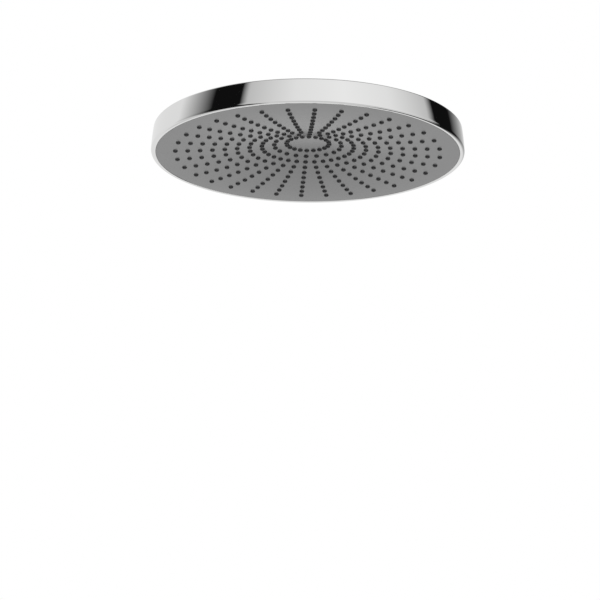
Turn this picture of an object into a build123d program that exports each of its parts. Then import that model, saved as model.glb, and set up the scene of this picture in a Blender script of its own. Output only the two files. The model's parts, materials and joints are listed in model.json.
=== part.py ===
from build123d import *
import os
from math import cos, pi, radians, sin, sqrt

os.makedirs("parts", exist_ok=True)

# A ceiling or wall-arm shower head. All sizes are in millimetres.
# The inlet's thread begins at the origin, +Z points up along its axis and -Y is the front.

# Rim and shell
HEAD_DIAMETER = 250.0      # largest width of the rim, just above its lower edge
RIM_HEIGHT = 19.2          # lower lip to the wall's upper edge
WALL_LEAN = 1.8            # how far the bowed wall leans in by its upper edge
WALL_FOOT_LEAN = 3.0       # degrees that the wall leans in at its foot
LIP_WIDTH = 3.5            # lip round the spray face
LIP_INNER_ROUND = 0.9
LOWER_ROUND = 0.6
UPPER_ROUND = 1.1
SHELL_WALL = 2.0
SEAT_WIDTH = 8.0           # level seat round the hub, at the shell's top

# Spray face
FACE_GAP = 0.3             # narrow groove between the lip and the face
FACE_RECESS = 0.35         # the face's edge lies this far above the lip
FACE_WALL = 2.4
FACE_EDGE_ROUND = 0.7
DISH_RADIUS = 583.0        # long curve of the dished face, level at the face's edge
DISH_CENTRE = 24.0         # inside this radius the dish rounds over to a level centre
FIRST_RING = 17.1
FACE_MARGIN = 15.6         # last ring of nozzles to the face's edge
RING_COUNTS = [20] * 2 + [32] * 8

# Nozzles
NOZZLE_BASE = 4.0
NOZZLE_TIP = 3.1
NOZZLE_HEIGHT = 1.25
NOZZLE_BORE = 1.0
NOZZLE_SIDES = 8           # flat sides keep the many nozzles light
BORE_SIDES = 4

# Water chamber
CHAMBER_MARGIN = 1.9       # last ring's nozzles to the chamber's wall
COVER_WALL = 2.2
COVER_GAP = 1.6            # cover's shoulder to the shell above it
LEDGE_RISE = 1.5           # ledge for the cover, above the back of the face
TRAY_WALL = 2.2            # upright wall round the back of the face
TRAY_RISE = 4.0
SEAL_THICKNESS = 1.0
SEAL_WIDTH = 2.4
FACE_SCREWS = 8
FACE_SCREW_SHANK = 3.0
FACE_SCREW_HEAD = 5.4
FACE_SCREW_RISE = 1.6
FACE_SCREW_REACH = 2.5     # length of the screw inside the ledge
SPREADER_RADIUS = 15.0
SPREADER_THICKNESS = 1.4
SPREADER_DROP = 1.7        # water gap between the hub and the spreader
SPREADER_POST = 5.2        # width of the posts that the screws run through
SPREADER_SCREWS = 3
SPREADER_SCREW_SHANK = 2.5
SPREADER_SCREW_HEAD = 4.4
SPREADER_SCREW_RISE = 1.3
SPREADER_SCREW_REACH = 1.2 # length of the screw inside the hub's flange
SPREADER_SCREW_INSET = 4.0 # screw's axis to the spreader's edge
CHAMBER_CLEARANCE = 0.8    # spreader's screw heads to the back of the face

# Swivel
BALL_DIAMETER = 18.0
SEAT_GAP = 0.15            # ball to the ring and the seal that hold it
NECK_DIAMETER = 11.4
NECK_LENGTH = 10.2         # ball's centre to the stem's shank
WATERWAY = 8.4
COLLAR_RISE = 6.5          # ball's centre to the collar's top
COLLAR_LIP = 1.5
COLLAR_DIAMETER = 31.2
COLLAR_MOUTH = 15.8
COLLAR_FLARE = 0.5         # the mouth opens out upwards
COLLAR_CHAMFER = 1.4
COLLAR_GAP = 0.4           # collar to the shell nut below it
FRICTION_HEIGHT = 1.9
BALL_SEAL_DROP = 3.24      # ball's centre to the seal's top
BALL_SEAL_HEIGHT = 2.97
SEAT_WASHER_HEIGHT = 1.2
HUB_WALL = 3.4             # thread's crest to the ball's socket
HUB_FLANGE = 2.5
FLANGE_WIDTH = 6.5         # hub's thread to the flange's edge
HUB_SEAL_INSET = 1.6       # seal's groove to the thread and to the flange's edge
HUB_BORE = 11.0
SHELL_DROP = 6.0           # ball's centre to the shell's top
NUT_THICKNESS = 4.0
NUT_WALL = 4.5             # hub's thread to the nut's flats
NUT_WASHER = 1.0
NUT_WASHER_WIDTH = 5.9

# Inlet, G1/2 female
THREAD_BORE = 18.64
THREAD_LENGTH = 8.0
MOUTH_CHAMFER = 0.6        # flared mouth above the thread
UNION_WIDTH = 26.0         # across the union nut's flats
UNION_RECESS = 4.6         # room for the washer and the stem's end
RECESS_STEP = 0.9          # the recess is wider than the thread by this on each side
UNION_LIP = 2.6
SHANK_DIAMETER = 16.0
SHANK_GAP = 0.35
WASHER_THICKNESS = 1.7
WASHER_GRIP = 1.0          # depth of the washer's groove round the screen
SCREEN_DIAMETER = 13.5
SCREEN_THICKNESS = 0.4
SCREEN_HOLE = 1.5
SCREEN_RINGS = [(6, 2.4), (12, 4.6)]    # count and radius of each ring of holes
SNAP_THICKNESS = 1.2
SNAP_WIDTH = 2.1
SNAP_GROOVE = 0.8
SNAP_SLIT = 2.0
LIMITER_DIAMETER = 11.2
LIMITER_LENGTH = 3.6
LIMITER_HOLE = 1.6
LIMITER_HOLES = 6
LIMITER_RING = 3.1

FIT_GAP = 0.1              # assembly gap between pieces that do not move
CLOSE_GAP = 0.05           # closer gap, for a screw in its hole or a disc in its groove
SCREW_TIP_GAP = 0.2        # screw's tip to the floor of its hole
OVERRUN = 1.0              # a cutting tool runs past a face by this much
CORNER_CHAMFER = 0.8

# Heights, from the top of the inlet's thread downwards
recess_top = -THREAD_LENGTH
recess_floor = recess_top - UNION_RECESS
union_bottom = recess_floor - UNION_LIP
washer_top = recess_top - FIT_GAP
washer_bottom = washer_top - WASHER_THICKNESS
stem_top = washer_bottom - FIT_GAP
snap_bottom = recess_floor + SHANK_GAP
snap_top = snap_bottom + SNAP_THICKNESS
shank_bottom = union_bottom - SHANK_GAP
ball_z = shank_bottom - NECK_LENGTH
collar_top = ball_z + COLLAR_RISE
friction_top = collar_top - COLLAR_LIP
hub_top = friction_top - FRICTION_HEIGHT
shell_top = ball_z - SHELL_DROP
shell_nut_top = shell_top + NUT_WASHER + NUT_THICKNESS
cover_top = shell_top - SHELL_WALL
flange_top = cover_top - COVER_WALL
flange_bottom = flange_top - HUB_FLANGE
spreader_bottom = flange_bottom - SPREADER_DROP - SPREADER_THICKNESS

# Radii
head_radius = HEAD_DIAMETER / 2
lip_radius = head_radius - LIP_WIDTH
face_radius = lip_radius - FACE_GAP
level_radius = face_radius - FACE_EDGE_ROUND
last_ring = face_radius - FACE_MARGIN
ball_radius = BALL_DIAMETER / 2
held_radius = ball_radius + SEAT_GAP
socket_radius = held_radius + FIT_GAP
hub_radius = socket_radius + HUB_WALL
flange_radius = hub_radius + FLANGE_WIDTH
hub_bore = HUB_BORE / 2
seat_radius = hub_radius + SEAT_WIDTH
waterway_radius = WATERWAY / 2
thread_radius = THREAD_BORE / 2
recess_radius = thread_radius + RECESS_STEP
shank_radius = SHANK_DIAMETER / 2
groove_radius = shank_radius - SNAP_GROOVE
screen_radius = SCREEN_DIAMETER / 2
limiter_radius = LIMITER_DIAMETER / 2
face_screw_shank = FACE_SCREW_SHANK / 2
spreader_screw_shank = SPREADER_SCREW_SHANK / 2
spreader_screw_radius = SPREADER_RADIUS - SPREADER_SCREW_INSET

# The dish: height of the front of the face above its edge
dish_slope = (level_radius - DISH_CENTRE) / DISH_RADIUS
centre_radius = DISH_CENTRE / dish_slope


def dish_height(radius):
    if radius >= level_radius:
        return 0.0
    if radius >= DISH_CENTRE:
        return DISH_RADIUS - sqrt(DISH_RADIUS**2 - (level_radius - radius) ** 2)
    cap = sqrt(centre_radius**2 - radius**2) - sqrt(centre_radius**2 - DISH_CENTRE**2)
    return dish_height(DISH_CENTRE) + cap


# The face hangs below the spreader's screw heads, and the rim follows the face
face_back_centre = spreader_bottom - SPREADER_SCREW_RISE - CHAMBER_CLEARANCE
face_edge_z = face_back_centre - FACE_WALL - dish_height(0)
lip_z = face_edge_z - FACE_RECESS
rim_top = lip_z + RIM_HEIGHT
ledge_z = face_edge_z + FACE_WALL + LEDGE_RISE
flange_inner = last_ring + NOZZLE_BASE / 2 + CHAMBER_MARGIN
cover_radius = flange_inner + SEAL_WIDTH
cover_edge = face_radius - TRAY_WALL - FIT_GAP
face_screw_radius = (flange_inner + COVER_WALL + cover_edge) / 2


def turn(*edges):
    """Turn a closed outline, drawn as radius and height, about the inlet's axis."""
    return revolve(Plane.XZ * make_face(edges), Axis.Z)


def turn_points(*points):
    return turn(Polyline(*points, close=True))


def ring(inner, outer, bottom, top):
    return turn_points((inner, bottom), (outer, bottom), (outer, top), (inner, top))


def drum(radius, bottom, top):
    """An upright cylinder between two heights."""
    return Pos(0, 0, bottom) * extrude(Circle(radius), top - bottom)


def hexagon(across_flats, bottom, top):
    """A hexagon bar with its upper corners turned off."""
    bar = Pos(0, 0, bottom) * extrude(RegularPolygon(across_flats / 2, 6, major_radius=False), top - bottom)
    corner = across_flats / sqrt(3)
    turned = turn_points(
        (0, bottom),
        (corner, bottom),
        (corner, top - CORNER_CHAMFER),
        (across_flats / 2 - CORNER_CHAMFER, top),
        (0, top),
    )
    return bar & turned


def around(count, radius):
    """Evenly spaced places round the axis, the first of them at the front."""
    return list(PolarLocations(radius, count, start_angle=-90))


def screw(shank, head, tip, seat, head_end):
    """A pan-head screw on the Z axis, given its two radii, its tip, its seat and the end of its head."""
    return turn_points((0, tip), (shank, tip), (shank, seat), (head, seat), (head, head_end), (0, head_end))


def copies(solid, places):
    return [place * solid for place in places]


def union_nut():
    """Hexagon nut with the inlet thread, a washer recess and a lip that runs under the snap ring."""
    body = hexagon(UNION_WIDTH, union_bottom, MOUTH_CHAMFER)
    hole = turn_points(
        (0, union_bottom - OVERRUN),
        (shank_radius + SHANK_GAP, union_bottom - OVERRUN),
        (shank_radius + SHANK_GAP, recess_floor),
        (recess_radius, recess_floor),
        (recess_radius, recess_top),
        (thread_radius, recess_top),
        (thread_radius, 0),
        (thread_radius + MOUTH_CHAMFER, MOUTH_CHAMFER),
        (0, MOUTH_CHAMFER),
    )
    return body - hole


screen_z = washer_bottom + WASHER_THICKNESS / 2


def inlet_washer():
    """Rubber washer with an inner groove that carries the screen."""
    groove = screen_radius + CLOSE_GAP
    half = SCREEN_THICKNESS / 2
    body = ring(groove - WASHER_GRIP, recess_radius - FIT_GAP, washer_bottom, washer_top)
    return body - ring(0, groove, screen_z - half, screen_z + half)


def strainer_screen():
    """Thin disc with six-sided holes in two rings."""
    half = SCREEN_THICKNESS / 2
    disc = drum(screen_radius, screen_z - half, screen_z + half)
    hole = Pos(0, 0, screen_z - OVERRUN) * extrude(RegularPolygon(SCREEN_HOLE / 2, 6), 2 * OVERRUN)
    places = [place for count, radius in SCREEN_RINGS for place in around(count, radius)]
    return disc.cut(hole, *copies(hole, places))


limiter_top = stem_top - FIT_GAP
limiter_floor = limiter_top - LIMITER_LENGTH


def ball_stem():
    """Tube with a grooved shank above and the swivel ball below."""
    neck = NECK_DIAMETER / 2
    neck_foot = ball_z + sqrt(ball_radius**2 - neck**2)
    outlet = ball_z - sqrt(ball_radius**2 - waterway_radius**2)
    return turn(
        ThreePointArc((waterway_radius, outlet), (ball_radius, ball_z), (neck, neck_foot)),
        Polyline(
            (neck, neck_foot),
            (neck, shank_bottom - (shank_radius - neck) / 2),
            (shank_radius, shank_bottom),
            (shank_radius, snap_bottom),
            (groove_radius, snap_bottom),
            (groove_radius, snap_top),
            (shank_radius, snap_top),
            (shank_radius, stem_top),
            (limiter_radius + FIT_GAP, stem_top),
            (limiter_radius + FIT_GAP, limiter_floor),
            (waterway_radius, limiter_floor),
            (waterway_radius, outlet),
        ),
    )


def stem_snap_ring():
    """Flat spring ring with a slit, sprung into the stem's groove."""
    inner = groove_radius + CLOSE_GAP
    body = ring(inner, inner + SNAP_WIDTH, snap_bottom, snap_top)
    slit = Pos(0, inner + SNAP_WIDTH / 2, snap_bottom) * Box(SNAP_SLIT, 2 * SNAP_WIDTH, 4 * SNAP_THICKNESS)
    return body - slit


def flow_limiter():
    """Insert with a ring of small holes round a solid core."""
    body = drum(limiter_radius, limiter_floor, limiter_top)
    bar = extrude(RegularPolygon(LIMITER_HOLE / 2, 6), LIMITER_LENGTH + 2 * OVERRUN)
    hole = Pos(0, 0, limiter_floor - OVERRUN) * bar
    return body.cut(*copies(hole, around(LIMITER_HOLES, LIMITER_RING)))


def collar_nut():
    """Collar screwed over the hub, with an inner lip above the friction ring."""
    outer = COLLAR_DIAMETER / 2
    mouth = COLLAR_MOUTH / 2
    bottom = shell_nut_top + COLLAR_GAP
    return turn_points(
        (hub_radius + FIT_GAP, bottom),
        (outer - CORNER_CHAMFER, bottom),
        (outer, bottom + CORNER_CHAMFER),
        (outer, collar_top - COLLAR_CHAMFER),
        (outer - COLLAR_CHAMFER, collar_top),
        (mouth + COLLAR_FLARE, collar_top),
        (mouth, friction_top),
        (hub_radius + FIT_GAP, friction_top),
    )


def on_ball(z):
    """Radius at a height of the round seat that holds the ball."""
    return sqrt(held_radius**2 - (z - ball_z) ** 2)


def ball_seat(outer, bottom, top):
    """A ring whose bore follows the ball."""
    middle = (bottom + top) / 2
    return turn(
        ThreePointArc((on_ball(top), top), (on_ball(middle), middle), (on_ball(bottom), bottom)),
        Polyline((on_ball(bottom), bottom), (outer, bottom), (outer, top), (on_ball(top), top)),
    )


def friction_ring():
    return ball_seat(hub_radius, hub_top, friction_top)


seal_top = ball_z - BALL_SEAL_DROP
seal_bottom = seal_top - BALL_SEAL_HEIGHT
socket_floor = seal_bottom - SEAT_WASHER_HEIGHT


def ball_seal():
    return ball_seat(socket_radius - FIT_GAP, seal_bottom, seal_top)


def seat_washer():
    return ring(on_ball(seal_bottom), socket_radius - FIT_GAP, socket_floor, seal_bottom)


hub_seal_inner = hub_radius + HUB_SEAL_INSET
hub_seal_outer = flange_radius - HUB_SEAL_INSET


def inlet_hub():
    """Neck with the ball's socket, and a grooved flange that sits inside the water chamber."""
    body = turn_points(
        (hub_bore, flange_bottom),
        (flange_radius, flange_bottom),
        (flange_radius, flange_top),
        (hub_seal_outer, flange_top),
        (hub_seal_outer, flange_top - SEAL_THICKNESS),
        (hub_seal_inner, flange_top - SEAL_THICKNESS),
        (hub_seal_inner, flange_top),
        (hub_radius, flange_top),
        (hub_radius, hub_top),
        (socket_radius, hub_top),
        (socket_radius, socket_floor),
        (hub_bore, socket_floor),
    )
    hole_end = flange_bottom + SPREADER_SCREW_REACH + SCREW_TIP_GAP
    hole = drum(spreader_screw_shank, flange_bottom - OVERRUN, hole_end)
    return body.cut(*copies(hole, around(SPREADER_SCREWS, spreader_screw_radius)))


def hub_seal():
    return ring(hub_seal_inner, hub_seal_outer, flange_top - SEAL_THICKNESS, flange_top)


def shell_washer():
    inner = hub_radius + FIT_GAP
    return ring(inner, inner + NUT_WASHER_WIDTH, shell_top, shell_top + NUT_WASHER)


def shell_nut():
    body = hexagon(2 * (hub_radius + NUT_WALL), shell_top + NUT_WASHER, shell_nut_top)
    return body - drum(hub_radius + FIT_GAP, shell_top, shell_nut_top + OVERRUN)


upper_radius = head_radius - WALL_LEAN


def top_shell():
    """Pan with a shallow dome, a bowed wall and a rounded lower lip."""
    lean = radians(WALL_FOOT_LEAN)
    wall_foot = (head_radius, lip_z + LOWER_ROUND)
    wall_head = (upper_radius, rim_top - UPPER_ROUND)
    wall = TangentArc(wall_foot, wall_head, tangent=(-sin(lean), cos(lean)))
    dome_edge = (upper_radius - UPPER_ROUND, rim_top)
    lip_foot = (lip_radius + LIP_INNER_ROUND, lip_z)
    lip_side = (lip_radius, lip_z + LIP_INNER_ROUND)
    return turn(
        Line(lip_foot, (head_radius - LOWER_ROUND, lip_z)),
        TangentArc((head_radius - LOWER_ROUND, lip_z), wall_foot, tangent=(1, 0)),
        wall,
        TangentArc(wall_head, dome_edge, tangent=wall % 1),
        TangentArc((seat_radius, shell_top), dome_edge, tangent=(1, 0)),
        Polyline(
            (seat_radius, shell_top),
            (hub_radius + FIT_GAP, shell_top),
            (hub_radius + FIT_GAP, cover_top),
            (seat_radius, cover_top),
        ),
        TangentArc((seat_radius, cover_top), (lip_radius, rim_top - SHELL_WALL), tangent=(1, 0)),
        Line((lip_radius, rim_top - SHELL_WALL), lip_side),
        TangentArc(lip_side, lip_foot, tangent=(0, -1)),
    )


shoulder_z = rim_top - SHELL_WALL - COVER_GAP


def chamber_cover():
    """Lid of the water chamber, with a flange that is screwed to the face."""
    lid = turn_points(
        (hub_radius + FIT_GAP, cover_top),
        (seat_radius, cover_top),
        (flange_inner + COVER_WALL, shoulder_z),
        (flange_inner + COVER_WALL, ledge_z + COVER_WALL),
        (cover_edge, ledge_z + COVER_WALL),
        (cover_edge, ledge_z),
        (flange_inner, ledge_z),
        (flange_inner, shoulder_z - COVER_WALL),
        (seat_radius, flange_top),
        (hub_radius + FIT_GAP, flange_top),
    )
    hole = drum(face_screw_shank + FIT_GAP, ledge_z - OVERRUN, ledge_z + COVER_WALL + OVERRUN)
    return lid.cut(*copies(hole, around(FACE_SCREWS, face_screw_radius)))


def rim_seal():
    return ring(flange_inner, cover_radius, ledge_z - SEAL_THICKNESS, ledge_z)


def flow_spreader():
    """Disc on short posts that turns the water outwards under the hub."""
    top = spreader_bottom + SPREADER_THICKNESS
    disc = drum(SPREADER_RADIUS, spreader_bottom, top)
    places = around(SPREADER_SCREWS, spreader_screw_radius)
    posts = copies(drum(SPREADER_POST / 2, top, flange_bottom), places)
    hole = drum(spreader_screw_shank + CLOSE_GAP, spreader_bottom - OVERRUN, flange_bottom + OVERRUN)
    return disc.fuse(*posts).cut(*copies(hole, places))


def spreader_screws():
    tip = flange_bottom + SPREADER_SCREW_REACH
    head_end = spreader_bottom - SPREADER_SCREW_RISE
    one = screw(spreader_screw_shank, SPREADER_SCREW_HEAD / 2, tip, spreader_bottom, head_end)
    return Compound(children=copies(one, around(SPREADER_SCREWS, spreader_screw_radius)))


def frustum(lower, upper, bottom, top, sides):
    """A flat-sided cone frustum on the Z axis, given the radii of its two ends."""
    angles = [2 * pi * (index + 0.5) / sides for index in range(sides)]
    low = [Vector(lower * cos(angle), lower * sin(angle), bottom) for angle in angles]
    high = [Vector(upper * cos(angle), upper * sin(angle), top) for angle in angles]
    outlines = [low[::-1], high]
    for index in range(sides):
        after = (index + 1) % sides
        outlines.append([low[index], low[after], high[after], high[index]])
    return Solid(Shell([Face(Wire.make_polygon(outline, close=True)) for outline in outlines]))


def nozzle_places():
    """The root of every nozzle on the dished front, ring by ring from the centre."""
    places = []
    pitch = (last_ring - FIRST_RING) / (len(RING_COUNTS) - 1)
    for index, count in enumerate(RING_COUNTS):
        radius = FIRST_RING + index * pitch
        level = Pos(0, 0, face_edge_z + dish_height(radius))
        places += [level * place for place in around(count, radius)]
    return places


def spray_face():
    """Dished plate with a ledge and a wall behind its edge, and a bored nozzle at every place."""

    def front(radius, rise=0.0):
        return (radius, face_edge_z + dish_height(radius) + rise)

    def dish(edge, rise=0.0):
        """The dish's two curves, from the centre out to an edge."""
        return [
            ThreePointArc(front(0, rise), front(DISH_CENTRE / 2, rise), front(DISH_CENTRE, rise)),
            ThreePointArc(front(DISH_CENTRE, rise), front((DISH_CENTRE + edge) / 2, rise), front(edge, rise)),
        ]

    tray_top = ledge_z + TRAY_RISE
    tray_inner = face_radius - TRAY_WALL
    groove_floor = ledge_z - SEAL_THICKNESS
    edge_foot = (face_radius, face_edge_z + FACE_EDGE_ROUND)
    plate = turn(
        *dish(level_radius),
        TangentArc(front(level_radius), edge_foot, tangent=(1, 0)),
        Polyline(
            edge_foot,
            (face_radius, tray_top),
            (tray_inner, tray_top),
            (tray_inner, ledge_z),
            (cover_radius, ledge_z),
            (cover_radius, groove_floor),
            (flange_inner, groove_floor),
            front(flange_inner, FACE_WALL),
        ),
        *dish(flange_inner, FACE_WALL),
        Line(front(0, FACE_WALL), front(0)),
    )
    # The nozzle's root runs on into the plate at the same taper
    root = FACE_WALL / 2
    grow = (NOZZLE_BASE - NOZZLE_TIP) / 2 * root / NOZZLE_HEIGHT
    nozzle = frustum(NOZZLE_TIP / 2, NOZZLE_BASE / 2 + grow, -NOZZLE_HEIGHT, root, NOZZLE_SIDES)
    bore = frustum(NOZZLE_BORE / 2, NOZZLE_BORE / 2, -2 * NOZZLE_HEIGHT, 2 * FACE_WALL, BORE_SIDES)
    screw_hole = drum(face_screw_shank, ledge_z - FACE_SCREW_REACH - SCREW_TIP_GAP, ledge_z + OVERRUN)
    places = nozzle_places()
    plate = plate.fuse(*copies(nozzle, places))
    holes = copies(bore, places) + copies(screw_hole, around(FACE_SCREWS, face_screw_radius))
    return plate.cut(*holes)


def face_screws():
    seat = ledge_z + COVER_WALL
    tip = ledge_z - FACE_SCREW_REACH
    one = screw(face_screw_shank, FACE_SCREW_HEAD / 2, tip, seat, seat + FACE_SCREW_RISE)
    return Compound(children=copies(one, around(FACE_SCREWS, face_screw_radius)))


PIECES = [
    union_nut,
    inlet_washer,
    strainer_screen,
    ball_stem,
    stem_snap_ring,
    flow_limiter,
    collar_nut,
    friction_ring,
    ball_seal,
    seat_washer,
    inlet_hub,
    hub_seal,
    shell_washer,
    shell_nut,
    top_shell,
    chamber_cover,
    rim_seal,
    flow_spreader,
    spreader_screws,
    spray_face,
    face_screws,
]

for piece in PIECES:
    export_step(piece(), f"parts/{piece.__name__}.step")
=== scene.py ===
"""Overhead shower head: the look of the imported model, in metres and in the model's own frame."""

import json
from math import acos, atan2, cos, degrees, pi, radians, sin, sqrt, tan

import bpy
from mathutils import Matrix, Vector


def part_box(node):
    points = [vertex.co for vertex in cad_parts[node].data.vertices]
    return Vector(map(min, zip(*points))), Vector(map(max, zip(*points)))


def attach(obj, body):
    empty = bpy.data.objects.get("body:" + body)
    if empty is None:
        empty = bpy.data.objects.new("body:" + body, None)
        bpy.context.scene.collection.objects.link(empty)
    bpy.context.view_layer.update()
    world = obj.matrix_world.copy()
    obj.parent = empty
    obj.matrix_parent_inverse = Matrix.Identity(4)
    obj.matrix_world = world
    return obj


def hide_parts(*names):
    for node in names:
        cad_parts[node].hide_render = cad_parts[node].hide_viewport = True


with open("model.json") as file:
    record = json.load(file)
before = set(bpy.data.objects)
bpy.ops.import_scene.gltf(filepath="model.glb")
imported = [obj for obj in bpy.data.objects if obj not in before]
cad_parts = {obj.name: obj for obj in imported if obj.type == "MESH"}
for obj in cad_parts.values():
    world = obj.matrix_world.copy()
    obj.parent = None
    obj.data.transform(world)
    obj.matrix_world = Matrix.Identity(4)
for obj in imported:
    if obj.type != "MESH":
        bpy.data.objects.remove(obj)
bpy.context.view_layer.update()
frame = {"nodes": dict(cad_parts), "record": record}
MM = 0.001

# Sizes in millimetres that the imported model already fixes


def low(node):
    """Height of a node's lowest point."""
    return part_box(node)[0][2] / MM


def high(node):
    """Height of a node's highest point."""
    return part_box(node)[1][2] / MM


def reach(node):
    """Outer radius of a round node."""
    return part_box(node)[1][0] / MM


# Shell and rim, in millimetres, with the angle at the wall's foot in degrees
HEAD_RADIUS = reach("top_shell")
SHELL_TOP = high("top_shell")
SHELL_WALL = 2.0
SEAT_WIDTH = 8.0
RIM_HEIGHT = 20.2
WALL_INSET = 1.7
WALL_FOOT_ANGLE = 3.0
UPPER_ROUND = 1.1
LOWER_ROUND = 2.0
LIP_Z = low("top_shell")
LIP_RISE = 0.25
LIP_WIDTH = 3.75
LIP_INNER_ROUND = 0.4

# Spray face and its nozzles, in millimetres
FACE_RADIUS = reach("spray_face")
FACE_RECESS = 0.35
FACE_WALL = 2.4
FACE_EDGE_ROUND = 0.3
LEVEL_WIDTH = 0.7
DISH_CURVE_RADIUS = 583.0
CENTRE_RADIUS = 24.0
TRAY_WALL = 2.2
SEAL_SEAT_WIDTH = 2.4
FIRST_RING = 17.1
FACE_MARGIN = 15.6
RING_COUNTS = [20] * 2 + [32] * 8
NOZZLE_BASE = 4.0
NOZZLE_TIP = 3.1
NOZZLE_HEIGHT = 1.25
NOZZLE_ROUND = 0.42
NOZZLE_ROOT = 1.2
NOZZLE_BORE = 1.0
BORE_DEPTH = 2.4
BORE_BREAK = 0.14

# Swivel and fastenings, in millimetres
HUB_RADIUS = 12.65
FIT_GAP = 0.1
HUB_HOLE = HUB_RADIUS + FIT_GAP
EDGE_BREAK = 0.15
BALL_RADIUS = 9.0
NECK_RADIUS = 5.7
SHANK_RADIUS = 8.0
SHANK_GAP = 0.35
WATERWAY_RADIUS = 4.2
LIMITER_RADIUS = 5.7
LIMITER_LENGTH = 3.6
SNAP_GROOVE = 0.8
STEM_ROUND = 0.12
COLLAR_MOUTH = 7.9
COLLAR_FLARE = 0.5
COLLAR_CHAMFER = 1.4
COLLAR_LIP = 1.5
COLLAR_ROUND = 0.3
CORNER_CHAMFER = 0.8
NUT_TOP = high("shell_nut")
NUT_WALL = 4.5
NUT_FLATS = 2 * (HUB_RADIUS + NUT_WALL)
WASHER_ROUND = 0.25

# Inlet union, in millimetres, with its groove's half width as a share of the thread's pitch
UNION_TOP = high("union_nut")
UNION_BOTTOM = low("union_nut")
UNION_FLATS = 26.0
LOWER_CHAMFER_SHARE = 0.4
THREAD_RADIUS = 9.32
THREAD_DEPTH = 0.78
THREAD_PITCH = 1.814
THREAD_LENGTH = 8.0
THREAD_END_CHAMFER = 0.3
GROOVE_HALF_WIDTH = 0.42
MOUTH_CHAMFER = 0.6
RECESS_RADIUS = 10.22
RECESS_DEPTH = 4.6

# How finely the meshes are divided, round the axis and along some of the outlines
SHELL_SEGMENTS = 384
FACE_SEGMENTS = 320
HEXAGON_SEGMENTS = 192
COLLAR_SEGMENTS = 160
STEM_SEGMENTS = 128
WASHER_SEGMENTS = 128
NOZZLE_SEGMENTS = 24
FACE_FRONT_STEPS = 48
FACE_BACK_STEPS = 24
BALL_STEPS = 32
THREAD_STEPS = 56

# Camera at the photograph's view: degrees, millimetres and pixels, and its far limit in metres
FRAME_PIXELS = 600
CAMERA_BELOW = 18.794
CAMERA_DISTANCE = 2793.1
CAMERA_FOCUS_Z = -56.432
CAMERA_TURN = -2.796
CAMERA_AIM_RIGHT = -0.10755
CAMERA_AIM_UP = -2.3764
CAMERA_ROLL = 0.50726
CAMERA_FOCAL_PIXELS = 3499.7
SENSOR_WIDTH = 36.0
CAMERA_FAR_LIMIT = 100

# Brightness of the studio, where 1 is white
AMBIENT = 0.8
ZENITH = 0.38
GROUND = 0.68
BACK = 0.85
FLAG = 0.0055
FRONT = 0.98
FRONT_SHOULDER = 0.89
FRONT_END = 0.6

# Angles round the head from the camera, in degrees and positive to the right
FRONT_CENTRE = 27
FRONT_HALF = 73
LEFT_FLAG = -52
RIGHT_FLAG = 108
FLAG_WIDTH = 24
LEFT_FADE = 36
RIGHT_FADE = 43

# The same angles near the ground, where the flags are wider
LOW_LEFT_FLAG = -48
LOW_LEFT_WIDTH = 46
LOW_LEFT_FADE = 6
LOW_RIGHT_FLAG = 123
LOW_RIGHT_WIDTH = 35
LOW_FADE = 8
LOW_BACK = 170
LOW_BACK_FADE = 10

# Angles above the horizon where the low part ends, the walls begin and end, and the zenith begins
LOW_END = -36
WALLS_START = -24
WALLS_END = 46
ZENITH_START = 64

# Floor in metres, and the lamp's width and tilts in degrees
FLOOR_Z = -3.2
FLOOR_HALF = 1.2
LAMP_STRENGTH = 0.8
LAMP_WIDTH = 25
LAMP_TILT_X = -12
LAMP_TILT_Y = -10

# Outlines are closed lists of (radius, height) in millimetres, from the bottom out, up and back in

# Corners more open than this, in degrees, aren't rounded, and a round takes up to this share of an edge
OPEN_CORNER = 150
EDGE_SHARE = 0.45


def tangent_arc(start, heading, end, steps):
    """Points of the arc that leaves start along heading and ends at end, without start itself."""
    side = (-heading[1], heading[0])
    chord = (end[0] - start[0], end[1] - start[1])
    offset = chord[0] * side[0] + chord[1] * side[1]
    radius = (chord[0] ** 2 + chord[1] ** 2) / (2 * offset)
    centre = (start[0] + side[0] * radius, start[1] + side[1] * radius)
    first = atan2(start[1] - centre[1], start[0] - centre[0])
    last = atan2(end[1] - centre[1], end[0] - centre[0])
    sweep = last - first
    if radius > 0 and sweep < 0:
        sweep += 2 * pi
    if radius < 0 and sweep > 0:
        sweep -= 2 * pi
    points = []
    for index in range(1, steps + 1):
        angle = first + sweep * index / steps
        points.append((centre[0] + abs(radius) * cos(angle), centre[1] + abs(radius) * sin(angle)))
    return points


def eased(corners, radius, steps):
    """An outline with its corners rounded off, apart from those that are nearly straight."""
    points = []
    count = len(corners)
    for index, corner in enumerate(corners):
        before = corners[index - 1]
        after = corners[(index + 1) % count]
        to_before = Vector((before[0] - corner[0], before[1] - corner[1]))
        to_after = Vector((after[0] - corner[0], after[1] - corner[1]))
        if degrees(to_before.angle(to_after)) > OPEN_CORNER:
            points.append(corner)
            continue
        back = min(radius, to_before.length * EDGE_SHARE, to_after.length * EDGE_SHARE)
        start = Vector(corner) + to_before.normalized() * back
        end = Vector(corner) + to_after.normalized() * back
        for step in range(steps + 1):
            part = step / steps
            point = start * (1 - part) ** 2 + Vector(corner) * 2 * part * (1 - part) + end * part**2
            points.append((point.x, point.y))
    return points


def add_mesh(name, vertices, faces, smooth=True):
    mesh = bpy.data.meshes.new(name)
    mesh.from_pydata(vertices, [], faces)
    mesh.update()
    mesh.polygons.foreach_set("use_smooth", [smooth] * len(mesh.polygons))
    piece = bpy.data.objects.new(name, mesh)
    bpy.context.scene.collection.objects.link(piece)
    return piece


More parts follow.
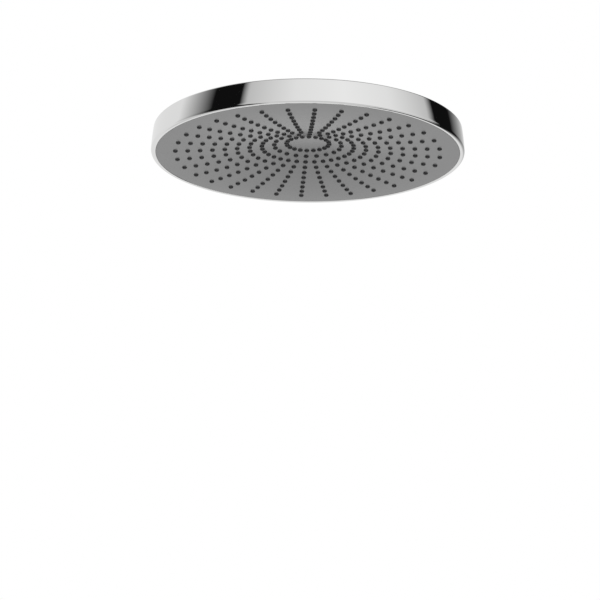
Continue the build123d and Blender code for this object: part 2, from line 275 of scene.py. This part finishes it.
def turned(name, outline, segments, shape=None, places=((0, 0, 0),)):
    """Turn an outline about an upright axis at each place. shape(radius, height, angle) may move a point."""
    vertices = []
    faces = []
    for x, y, z in places:
        rows = []
        for radius, height in outline:
            if radius == 0:
                rows.append([len(vertices)] * segments)
                vertices.append((x * MM, y * MM, (z + height) * MM))
                continue
            row = []
            for step in range(segments):
                angle = 2 * pi * step / segments
                at_radius, at_height = shape(radius, height, angle) if shape else (radius, height)
                at_x = x + at_radius * cos(angle)
                at_y = y + at_radius * sin(angle)
                row.append(len(vertices))
                vertices.append((at_x * MM, at_y * MM, (z + at_height) * MM))
            rows.append(row)
        for row, following in zip(rows, rows[1:] + rows[:1]):
            for step in range(segments):
                after = (step + 1) % segments
                corners = [row[step], row[after], following[after], following[step]]
                corners = list(dict.fromkeys(corners))
                if len(corners) > 2:
                    faces.append(corners)
    piece = add_mesh(name, vertices, faces)
    weighted = piece.modifiers.new("even shading", "WEIGHTED_NORMAL")
    weighted.mode = "FACE_AREA"
    weighted.keep_sharp = True
    return piece


# Materials

# Most of a noise field lies between these values
NOISE_LOW = 0.3
NOISE_HIGH = 0.7


def grey(level):
    return (level, level, level)


class Surface:
    """A material with one Principled shader and short helpers for its procedural detail."""

    def __init__(self, name, colour, roughness, metallic=0.0, specular=0.5):
        self.material = bpy.data.materials.new(name)
        self.material.use_nodes = True
        self.nodes = self.material.node_tree.nodes
        self.links = self.material.node_tree.links
        self.shader = self.nodes["Principled BSDF"]
        self.shader.inputs["Base Color"].default_value = (*colour, 1)
        self.shader.inputs["Roughness"].default_value = roughness
        self.shader.inputs["Metallic"].default_value = metallic
        self.shader.inputs["Specular IOR Level"].default_value = specular
        self.place = self.nodes.new("ShaderNodeTexCoord").outputs["Object"]

    def noise(self, per_metre, detail, stretch=(1, 1, 1)):
        """A noise field with about so many blotches per metre."""
        mapping = self.nodes.new("ShaderNodeMapping")
        mapping.inputs["Scale"].default_value = stretch
        self.links.new(self.place, mapping.inputs["Vector"])
        field = self.nodes.new("ShaderNodeTexNoise")
        field.inputs["Scale"].default_value = per_metre
        field.inputs["Detail"].default_value = detail
        self.links.new(mapping.outputs["Vector"], field.inputs["Vector"])
        return field.outputs["Fac"]

    def between(self, field, lowest, highest):
        """The field's usual range, spread from lowest to highest."""
        spread = self.nodes.new("ShaderNodeMapRange")
        spread.inputs["From Min"].default_value = NOISE_LOW
        spread.inputs["From Max"].default_value = NOISE_HIGH
        spread.inputs["To Min"].default_value = lowest
        spread.inputs["To Max"].default_value = highest
        self.links.new(field, spread.inputs["Value"])
        return spread.outputs["Result"]

    def vary_roughness(self, field, lowest, highest):
        self.links.new(self.between(field, lowest, highest), self.shader.inputs["Roughness"])

    def vary_colour(self, field, first, second):
        mix = self.nodes.new("ShaderNodeMix")
        mix.data_type = "RGBA"
        mix.inputs["A"].default_value = (*first, 1)
        mix.inputs["B"].default_value = (*second, 1)
        self.links.new(self.between(field, 0, 1), mix.inputs["Factor"])
        self.links.new(mix.outputs["Result"], self.shader.inputs["Base Color"])

    def bump(self, field, height, strength):
        """Raised grain of a height in millimetres."""
        relief = self.nodes.new("ShaderNodeBump")
        relief.inputs["Strength"].default_value = strength
        relief.inputs["Distance"].default_value = height * MM
        self.links.new(field, relief.inputs["Height"])
        self.links.new(relief.outputs["Normal"], self.shader.inputs["Normal"])


chrome = Surface("chrome", colour=(0.81, 0.81, 0.805), roughness=0.04, metallic=1.0)
chrome.vary_roughness(chrome.noise(90, detail=4), 0.025, 0.05)

graphite = Surface("graphite_plastic", colour=grey(0.121), roughness=0.2, specular=1.0)
graphite.vary_colour(graphite.noise(35, detail=5), grey(0.117), grey(0.125))
graphite.vary_roughness(graphite.noise(220, detail=3), 0.17, 0.23)
graphite.bump(graphite.noise(5200, detail=2), height=0.006, strength=0.25)

silicone = Surface("nozzle_silicone", colour=(0.019, 0.019, 0.02), roughness=0.5, specular=0.35)
silicone.vary_colour(silicone.noise(160, detail=4), (0.016, 0.016, 0.017), (0.022, 0.022, 0.023))
silicone.vary_roughness(silicone.noise(900, detail=3), 0.42, 0.56)

rubber = Surface("black_rubber", colour=grey(0.02), roughness=0.7, specular=0.3)
rubber.vary_colour(rubber.noise(300, detail=4), grey(0.016), grey(0.026))
rubber.vary_roughness(rubber.noise(700, detail=3), 0.6, 0.8)
rubber.bump(rubber.noise(3000, detail=2), height=0.02, strength=0.3)

black_plastic = Surface("black_plastic", colour=(0.03, 0.03, 0.032), roughness=0.42)
black_plastic.vary_colour(black_plastic.noise(60, detail=4), (0.026, 0.026, 0.028), (0.034, 0.034, 0.036))
black_plastic.vary_roughness(black_plastic.noise(400, detail=3), 0.36, 0.48)
black_plastic.bump(black_plastic.noise(2500, detail=2), height=0.02, strength=0.25)

white_plastic = Surface("white_plastic", colour=(0.75, 0.75, 0.72), roughness=0.4)
white_plastic.vary_colour(white_plastic.noise(80, detail=4), (0.72, 0.72, 0.69), (0.78, 0.78, 0.75))
white_plastic.vary_roughness(white_plastic.noise(500, detail=3), 0.34, 0.46)

brass = Surface("brass", colour=(0.6, 0.43, 0.18), roughness=0.28, metallic=1.0)
turning_marks = brass.noise(60, detail=2, stretch=(1, 1, 60))
brass.vary_colour(brass.noise(120, detail=4), (0.55, 0.39, 0.16), (0.64, 0.46, 0.2))
brass.vary_roughness(turning_marks, 0.2, 0.36)
brass.bump(turning_marks, height=0.02, strength=0.3)

steel = Surface("steel", colour=(0.5, 0.5, 0.51), roughness=0.3, metallic=1.0)
steel.vary_colour(steel.noise(150, detail=4), (0.46, 0.46, 0.47), (0.54, 0.54, 0.55))
steel.vary_roughness(steel.noise(800, detail=3), 0.24, 0.38)

BY_SLOT = {
    "chrome": chrome,
    "graphite_plastic": graphite,
    "black_plastic": black_plastic,
    "white_plastic": white_plastic,
    "black_rubber": rubber,
    "brass": brass,
    "steel": steel,
}


def dress(piece, slot, body, node=None, surface=None):
    """Give a new piece its material and body, and let it stand for a node."""
    piece.data.materials.append((surface or BY_SLOT[slot]).material)
    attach(piece, body)
    if node:
        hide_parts(node)


# Shell: a shallow dome, a bowed wall and a rounded lip


def shell_outline():
    rim_top = LIP_Z + RIM_HEIGHT
    seat = HUB_RADIUS + SEAT_WIDTH
    lip_inner = HEAD_RADIUS - LIP_WIDTH
    lip_inner_z = LIP_Z + LIP_RISE
    lip_start = (lip_inner, lip_inner_z + LIP_INNER_ROUND)
    lip_level = (lip_inner + LIP_INNER_ROUND, lip_inner_z)
    round_start = (HEAD_RADIUS - LOWER_ROUND, LIP_Z)
    wall_foot = (HEAD_RADIUS, LIP_Z + LOWER_ROUND)
    wall_head = (HEAD_RADIUS - WALL_INSET, rim_top - UPPER_ROUND)
    dome_edge = (wall_head[0] - UPPER_ROUND, rim_top)
    foot_angle = radians(WALL_FOOT_ANGLE)
    head_angle = 2 * atan2(WALL_INSET, wall_head[1] - wall_foot[1]) - foot_angle
    outline = tangent_arc(lip_start, (0, -1), lip_level, steps=8)
    outline.append(round_start)
    outline += tangent_arc(round_start, (1, 0), wall_foot, steps=8)
    outline += tangent_arc(wall_foot, (-sin(foot_angle), cos(foot_angle)), wall_head, steps=16)
    outline += tangent_arc(wall_head, (-sin(head_angle), cos(head_angle)), dome_edge, steps=10)
    # The dome's arc is drawn outwards from the seat, so it goes in backwards and without its edge
    dome = tangent_arc((seat, SHELL_TOP), (1, 0), dome_edge, steps=24)
    outline += dome[-2::-1]
    outline += [(seat, SHELL_TOP), (HUB_HOLE + EDGE_BREAK, SHELL_TOP), (HUB_HOLE, SHELL_TOP - EDGE_BREAK)]
    under_seat = (seat, SHELL_TOP - SHELL_WALL)
    outline += [(HUB_HOLE, SHELL_TOP - SHELL_WALL), under_seat]
    outline += tangent_arc(under_seat, (1, 0), (lip_inner, rim_top - SHELL_WALL), steps=12)
    outline.append(lip_start)
    return outline


shell = turned("shell", shell_outline(), SHELL_SEGMENTS)
dress(shell, "chrome", "head", "top_shell")

# Spray face: a dished plate, and one piece with all its soft nozzles

LEVEL_RADIUS = FACE_RADIUS - LEVEL_WIDTH
FACE_EDGE_Z = LIP_Z + FACE_RECESS
CENTRE_CURVE_RADIUS = CENTRE_RADIUS * DISH_CURVE_RADIUS / (LEVEL_RADIUS - CENTRE_RADIUS)


def dish_height(radius):
    """How far the face lies above its level edge: an arc that a rounder cap meets at the same slope."""
    if radius >= LEVEL_RADIUS:
        return 0.0
    if radius >= CENTRE_RADIUS:
        return DISH_CURVE_RADIUS - sqrt(DISH_CURVE_RADIUS**2 - (LEVEL_RADIUS - radius) ** 2)
    cap = sqrt(CENTRE_CURVE_RADIUS**2 - radius**2) - sqrt(CENTRE_CURVE_RADIUS**2 - CENTRE_RADIUS**2)
    return dish_height(CENTRE_RADIUS) + cap


def plate_outline():
    outline = []
    for step in range(FACE_FRONT_STEPS + 1):
        radius = LEVEL_RADIUS * step / FACE_FRONT_STEPS
        outline.append((radius, FACE_EDGE_Z + dish_height(radius)))
    edge_start = (FACE_RADIUS - FACE_EDGE_ROUND, FACE_EDGE_Z)
    outline.append(edge_start)
    outline += tangent_arc(edge_start, (1, 0), (FACE_RADIUS, FACE_EDGE_Z + FACE_EDGE_ROUND), steps=6)
    tray_top = high("spray_face")
    tray_inner = FACE_RADIUS - TRAY_WALL
    ledge = low("chamber_cover")
    seal_outer = reach("rim_seal")
    seal_low = low("rim_seal")
    seat_inner = seal_outer - SEAL_SEAT_WIDTH
    outline += [(FACE_RADIUS, tray_top), (tray_inner, tray_top), (tray_inner, ledge)]
    outline += [(seal_outer, ledge), (seal_outer, seal_low), (seat_inner, seal_low)]
    for step in range(FACE_BACK_STEPS, -1, -1):
        radius = seat_inner * step / FACE_BACK_STEPS
        outline.append((radius, FACE_EDGE_Z + FACE_WALL + dish_height(radius)))
    return outline


plate = turned("face_plate", plate_outline(), FACE_SEGMENTS)
dress(plate, "graphite_plastic", "head", "spray_face")


def nozzle_outline():
    """One nozzle with its root at height 0, listed from its root's cap and then put the other way round."""
    base = NOZZLE_BASE / 2
    tip = NOZZLE_TIP / 2
    bore = NOZZLE_BORE / 2
    taper = (base - tip) / NOZZLE_HEIGHT
    bore_end = -NOZZLE_HEIGHT + BORE_DEPTH
    side_end = (tip + taper * NOZZLE_ROUND, -NOZZLE_HEIGHT + NOZZLE_ROUND)
    outline = [(0, NOZZLE_ROOT), (base + taper * NOZZLE_ROOT, NOZZLE_ROOT), (base, 0), side_end]
    outline += tangent_arc(side_end, (-taper, -1), (tip - NOZZLE_ROUND, -NOZZLE_HEIGHT), steps=4)
    outline += [(bore + BORE_BREAK, -NOZZLE_HEIGHT), (bore, -NOZZLE_HEIGHT + BORE_BREAK)]
    outline += [(bore, bore_end), (0, bore_end)]
    return outline[::-1]


def nozzle_places():
    places = []
    last_ring = FACE_RADIUS - FACE_MARGIN
    pitch = (last_ring - FIRST_RING) / (len(RING_COUNTS) - 1)
    for index, count in enumerate(RING_COUNTS):
        radius = FIRST_RING + index * pitch
        height = FACE_EDGE_Z + dish_height(radius)
        for step in range(count):
            angle = 2 * pi * step / count - pi / 2
            places.append((radius * cos(angle), radius * sin(angle), height))
    return places


nozzles = turned("nozzles", nozzle_outline(), NOZZLE_SEGMENTS, places=nozzle_places())
dress(nozzles, "graphite_plastic", "head", surface=silicone)

# Inlet union: a hexagon nut with a real pipe thread inside


def hexagon_outline(flats, top, bottom):
    """Outside of a nut from its bottom face to its top face, through its corners."""
    face_edge = flats / 2 - CORNER_CHAMFER
    corner = flats / sqrt(3)
    outline = [(face_edge, bottom), (corner, bottom), (corner, (top + bottom) / 2)]
    return outline + [(corner, top), (face_edge, top)]


def hexagon_side(flats, height, angle, chamfer_share=0.0):
    """Radius and height of a point on a nut's side; flats face 30 degrees and each 60 from there.

    chamfer_share is how much of the corners' chamfer takes the point down, or up if it is negative.
    """
    radius = flats / 2 / cos((angle % (pi / 3)) - pi / 6)
    past_face = radius - (flats / 2 - CORNER_CHAMFER)
    drop = past_face * CORNER_CHAMFER / (flats / sqrt(3) - flats / 2 + CORNER_CHAMFER)
    return radius, height - drop * chamfer_share


def union_outline():
    shank = SHANK_RADIUS + SHANK_GAP
    recess_top = -THREAD_LENGTH
    recess_floor = recess_top - RECESS_DEPTH
    outline = [(shank, UNION_BOTTOM)]
    outline += hexagon_outline(UNION_FLATS, UNION_TOP, UNION_BOTTOM)
    outline.append((THREAD_RADIUS + MOUTH_CHAMFER, UNION_TOP))
    for step in range(1, THREAD_STEPS):
        outline.append((THREAD_RADIUS, recess_top * step / THREAD_STEPS))
    outline += [(THREAD_RADIUS + THREAD_END_CHAMFER, recess_top), (RECESS_RADIUS, recess_top)]
    outline += [(RECESS_RADIUS, recess_floor), (shank, recess_floor)]
    return outline


def union_shape(radius, height, angle):
    """Hexagon outside with its corners turned off, and a helical thread inside that fades at both ends."""
    if radius > UNION_FLATS / 2:
        chamfer_share = 0.0
        if height == UNION_TOP:
            chamfer_share = 1.0
        if height == UNION_BOTTOM:
            chamfer_share = -LOWER_CHAMFER_SHARE
        return hexagon_side(UNION_FLATS, height, angle, chamfer_share)
    if radius == THREAD_RADIUS:
        phase = (height / THREAD_PITCH - angle / (2 * pi)) % 1.0
        groove = max(0.0, 1.0 - abs(phase - 0.5) / GROOVE_HALF_WIDTH)
        fade = min(1.0, -height / THREAD_PITCH, (height + THREAD_LENGTH) / (THREAD_PITCH / 2))
        return radius + THREAD_DEPTH * groove * max(0.0, fade), height
    return radius, height


union = turned("inlet_union", union_outline(), HEXAGON_SEGMENTS, union_shape)
dress(union, "chrome", "arm_union", "union_nut")

# Swivel stem, collar, and the shell's nut and washer


def stem_outline():
    top = high("ball_stem")
    ball_z = low("ball_stem") + sqrt(BALL_RADIUS**2 - WATERWAY_RADIUS**2)
    snap_low = low("stem_snap_ring")
    snap_high = high("stem_snap_ring")
    shank_bottom = UNION_BOTTOM - SHANK_GAP
    neck_top = shank_bottom - (SHANK_RADIUS - NECK_RADIUS) / 2
    groove = SHANK_RADIUS - SNAP_GROOVE
    limiter_seat = top - LIMITER_LENGTH - FIT_GAP
    first = -acos(WATERWAY_RADIUS / BALL_RADIUS)
    last = acos(NECK_RADIUS / BALL_RADIUS)
    outline = []
    for step in range(BALL_STEPS + 1):
        angle = first + (last - first) * step / BALL_STEPS
        outline.append((BALL_RADIUS * cos(angle), ball_z + BALL_RADIUS * sin(angle)))
    outline += [(NECK_RADIUS, neck_top), (SHANK_RADIUS, shank_bottom)]
    outline += [(SHANK_RADIUS, snap_low), (groove, snap_low), (groove, snap_high), (SHANK_RADIUS, snap_high)]
    outline += [(SHANK_RADIUS, top), (LIMITER_RADIUS, top)]
    outline += [(LIMITER_RADIUS, limiter_seat), (WATERWAY_RADIUS, limiter_seat)]
    return eased(outline, STEM_ROUND, steps=2)


stem = turned("swivel_ball", stem_outline(), STEM_SEGMENTS)
dress(stem, "chrome", "swivel_stem", "ball_stem")


def collar_outline():
    top = high("collar_nut")
    bottom = low("collar_nut")
    outer = reach("collar_nut")
    lip = top - COLLAR_LIP
    outline = [(HUB_HOLE, bottom), (outer - CORNER_CHAMFER, bottom), (outer, bottom + CORNER_CHAMFER)]
    outline += [(outer, top - COLLAR_CHAMFER), (outer - COLLAR_CHAMFER, top)]
    outline += [(COLLAR_MOUTH + COLLAR_FLARE, top), (COLLAR_MOUTH, lip), (HUB_HOLE, lip)]
    return eased(outline, COLLAR_ROUND, steps=4)


collar = turned("swivel_collar", collar_outline(), COLLAR_SEGMENTS)
dress(collar, "chrome", "head", "collar_nut")


def nut_outline():
    outline = [(HUB_HOLE, low("shell_nut"))]
    outline += hexagon_outline(NUT_FLATS, NUT_TOP, low("shell_nut"))
    return outline + [(HUB_HOLE + EDGE_BREAK, NUT_TOP), (HUB_HOLE, NUT_TOP - EDGE_BREAK)]


def nut_shape(radius, height, angle):
    """Hexagon outside with the top of its corners turned off."""
    if radius > NUT_FLATS / 2:
        return hexagon_side(NUT_FLATS, height, angle, 1.0 if height == NUT_TOP else 0.0)
    return radius, height


shell_nut = turned("shell_lock_nut", nut_outline(), HEXAGON_SEGMENTS, nut_shape)
dress(shell_nut, "chrome", "head", "shell_nut")


def washer_outline():
    bottom = low("shell_washer")
    top = high("shell_washer")
    outer = reach("shell_washer")
    corners = [(HUB_HOLE, bottom), (outer, bottom), (outer, top), (HUB_HOLE, top)]
    return eased(corners, WASHER_ROUND, steps=4)


nut_washer = turned("shell_gasket", washer_outline(), WASHER_SEGMENTS)
dress(nut_washer, "black_rubber", "head", "shell_washer")

# Each solid gets the material of its slot; the inner pieces show as the solids that they are
for entry in frame["record"]["subparts"]:
    node = frame["nodes"][entry["node"]]
    node.data.materials.clear()
    node.data.materials.append(BY_SLOT[entry["material_slot"]].material)

# Camera


def place_camera():
    below = radians(CAMERA_BELOW)
    outward = Vector((0, -cos(below), -sin(below)))
    ahead = -outward
    right = Vector((1, 0, 0))
    up = right.cross(ahead)
    ahead = ahead + right * tan(radians(CAMERA_AIM_RIGHT)) + up * tan(radians(CAMERA_AIM_UP))
    ahead.normalize()
    right = ahead.cross(Vector((0, 0, 1))).normalized()
    up = right.cross(ahead)
    roll = radians(CAMERA_ROLL)
    rolled_right = right * cos(roll) + up * sin(roll)
    rolled_up = up * cos(roll) - right * sin(roll)
    axes = Matrix((rolled_right, rolled_up, -ahead)).transposed().to_4x4()
    place = outward * CAMERA_DISTANCE * MM + Vector((0, 0, CAMERA_FOCUS_Z * MM))
    lens = bpy.data.cameras.new("camera")
    lens.sensor_fit = "HORIZONTAL"
    lens.sensor_width = SENSOR_WIDTH
    lens.lens = CAMERA_FOCAL_PIXELS * SENSOR_WIDTH / FRAME_PIXELS
    lens.clip_end = CAMERA_FAR_LIMIT
    camera = bpy.data.objects.new("camera", lens)
    bpy.context.scene.collection.objects.link(camera)
    turn = Matrix.Rotation(radians(CAMERA_TURN), 4, "Z")
    camera.matrix_world = turn @ Matrix.Translation(place) @ axes
    bpy.context.scene.camera = camera


place_camera()

# Studio: a white background, and a surround with a front light and two dark flags that the chrome mirrors

# Angle and brightness: the back, a flag that fades in, the front light, a flag that fades out, the back
SURROUND = [
    (-180, BACK),
    (LEFT_FLAG - FLAG_WIDTH - LEFT_FADE, BACK),
    (LEFT_FLAG - FLAG_WIDTH, FLAG),
    (LEFT_FLAG, FLAG),
    (FRONT_CENTRE - FRONT_HALF, FRONT_END),
    (FRONT_CENTRE - FRONT_HALF / 2, FRONT_SHOULDER),
    (FRONT_CENTRE, FRONT),
    (FRONT_CENTRE + FRONT_HALF / 2, FRONT_SHOULDER),
    (FRONT_CENTRE + FRONT_HALF, FRONT_END),
    (RIGHT_FLAG, FLAG),
    (RIGHT_FLAG + FLAG_WIDTH, FLAG),
    (RIGHT_FLAG + FLAG_WIDTH + RIGHT_FADE, BACK),
    (180, BACK),
]
# The same near the ground
LOW_SURROUND = [
    (-180, BACK),
    (-LOW_BACK, BACK),
    (-LOW_BACK + LOW_BACK_FADE, GROUND),
    (LOW_LEFT_FLAG - LOW_LEFT_WIDTH - LOW_FADE, GROUND),
    (LOW_LEFT_FLAG - LOW_LEFT_WIDTH, FLAG),
    (LOW_LEFT_FLAG, FLAG),
    (LOW_LEFT_FLAG + LOW_LEFT_FADE, GROUND),
    (LOW_RIGHT_FLAG - LOW_FADE, GROUND),
    (LOW_RIGHT_FLAG, FLAG),
    (LOW_RIGHT_FLAG + LOW_RIGHT_WIDTH, FLAG),
    (LOW_BACK, BACK),
    (180, BACK),
]


def make_world():
    world = bpy.data.worlds.new("studio")
    world.use_nodes = True
    bpy.context.scene.world = world
    nodes = world.node_tree.nodes
    links = world.node_tree.links
    nodes.clear()

    def maths(operation, first, second):
        node = nodes.new("ShaderNodeMath")
        node.operation = operation
        for socket, value in zip(node.inputs, (first, second)):
            if isinstance(value, (int, float)):
                socket.default_value = value
            else:
                links.new(value, socket)
        return node.outputs["Value"]

    def stepped(rise, start, end):
        """From 0 to 1 between two angles above the horizon, in degrees."""
        node = nodes.new("ShaderNodeMapRange")
        node.interpolation_type = "SMOOTHSTEP"
        node.inputs["From Min"].default_value = sin(radians(start))
        node.inputs["From Max"].default_value = sin(radians(end))
        links.new(rise, node.inputs["Value"])
        return node.outputs["Result"]

    def blended(factor, first, second):
        node = nodes.new("ShaderNodeMix")
        node.data_type = "RGBA"
        links.new(factor, node.inputs["Factor"])
        for socket, value in ((node.inputs["A"], first), (node.inputs["B"], second)):
            if isinstance(value, float):
                socket.default_value = (*grey(value), 1)
            else:
                links.new(value, socket)
        return node.outputs["Result"]

    def ramp(around, levels):
        """Brightness by the angle round the head, where around goes from 0 to 1."""
        node = nodes.new("ShaderNodeValToRGB")
        stops = node.color_ramp.elements
        stops.remove(stops[-1])
        for index, (angle, level) in enumerate(levels):
            place = angle / 360 + 0.5
            stop = stops[0] if index == 0 else stops.new(place)
            stop.position = place
            stop.color = (*grey(level), 1)
        links.new(around, node.inputs["Fac"])
        return node.outputs["Color"]

    def background(colour=None, strength=1.0):
        """The colour, or white, at a strength."""
        node = nodes.new("ShaderNodeBackground")
        node.inputs["Color"].default_value = (*grey(1), 1)
        node.inputs["Strength"].default_value = strength
        if colour is not None:
            links.new(colour, node.inputs["Color"])
        return node.outputs["Background"]

    def chosen(factor, first, second):
        node = nodes.new("ShaderNodeMixShader")
        links.new(factor, node.inputs["Fac"])
        links.new(first, node.inputs[1])
        links.new(second, node.inputs[2])
        return node.outputs["Shader"]

    coordinates = nodes.new("ShaderNodeTexCoord")
    facing = nodes.new("ShaderNodeVectorRotate")
    facing.rotation_type = "Z_AXIS"
    facing.inputs["Angle"].default_value = -radians(CAMERA_TURN)
    links.new(coordinates.outputs["Generated"], facing.inputs["Vector"])
    split = nodes.new("ShaderNodeSeparateXYZ")
    links.new(facing.outputs["Vector"], split.inputs["Vector"])
    angle = maths("ARCTAN2", split.outputs["X"], maths("MULTIPLY", split.outputs["Y"], -1))
    around = maths("ADD", maths("DIVIDE", angle, 2 * pi), 0.5)
    rise = split.outputs["Z"]
    low_to_walls = stepped(rise, LOW_END, WALLS_START)
    walls_to_zenith = stepped(rise, WALLS_END, ZENITH_START)
    walls = blended(low_to_walls, ramp(around, LOW_SURROUND), ramp(around, SURROUND))
    studio = blended(walls_to_zenith, walls, ZENITH)

    rays = nodes.new("ShaderNodeLightPath")
    mirrored = maths("MAXIMUM", rays.outputs["Is Glossy Ray"], rays.outputs["Is Transmission Ray"])
    light = chosen(mirrored, background(strength=AMBIENT), background(studio))
    light = chosen(rays.outputs["Is Camera Ray"], light, background())
    output = nodes.new("ShaderNodeOutputWorld")
    links.new(light, output.inputs["Surface"])
    world.cycles.sampling_method = "NONE"


make_world()

# Pale floor, and a soft lamp that the chrome doesn't mirror

floor_corners = []
for across, along in ((-1, -1), (1, -1), (1, 1), (-1, 1)):
    floor_corners.append((across * FLOOR_HALF, along * FLOOR_HALF, FLOOR_Z))
floor = add_mesh("floor", floor_corners, [(0, 1, 2, 3)], smooth=False)
pale = Surface("pale_floor", colour=grey(0.72), roughness=0.8, specular=0.2)
pale.vary_colour(pale.noise(2, detail=3), grey(0.71), grey(0.73))
floor.data.materials.append(pale.material)

lamp = bpy.data.lights.new("soft_lamp", "SUN")
lamp.energy = LAMP_STRENGTH
lamp.angle = radians(LAMP_WIDTH)
lamp_place = bpy.data.objects.new("soft_lamp", lamp)
lamp_place.rotation_euler = (radians(LAMP_TILT_X), radians(LAMP_TILT_Y), 0)
lamp_place.visible_glossy = False
bpy.context.scene.collection.objects.link(lamp_place)

bpy.context.scene.view_settings.view_transform = "Standard"
